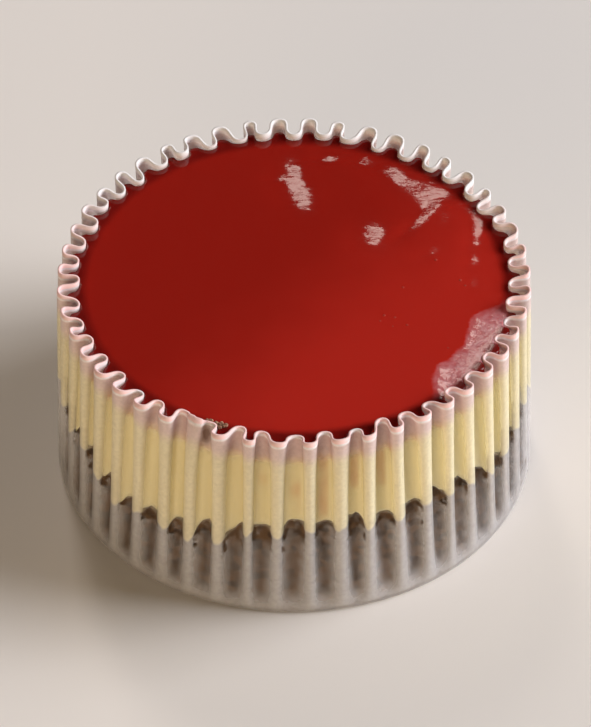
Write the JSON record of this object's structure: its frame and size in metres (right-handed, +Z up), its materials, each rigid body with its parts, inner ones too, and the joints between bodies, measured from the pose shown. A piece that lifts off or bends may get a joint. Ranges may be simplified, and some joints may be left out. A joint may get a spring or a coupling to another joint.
{
  "type": "individual cheesecake",
  "caption": "Individual round cheesecake in a pleated paper case, with a dark crumb base, a pale filling and a glossy red jelly top.",
  "frame": {"origin": "on the surface that the cake stands on, below the middle of the round case", "axes": "+Z up through the layers, +X and +Y level; the shown side faces -Y"},
  "size_m": [0.07, 0.07, 0.0346],
  "materials": {
    "greaseproof_paper": "thin crimped greaseproof paper, matt and dry at the rim, see-through where the cake has wetted it",
    "cocoa_crumb": "pressed dark cocoa biscuit crumb, matt and grainy",
    "baked_cream_cheese": "set cream cheese filling, pale warm yellow with a soft moist sheen",
    "set_berry_jelly": "thin set red jelly, wet gloss with gentle waves and a few small bubbles"
  },
  "bodies": {
    "root": {"paper_case": "greaseproof_paper", "biscuit_base": "cocoa_crumb", "cheesecake_filling": "baked_cream_cheese", "jelly_topping": "set_berry_jelly"}
  },
  "joints": []
}
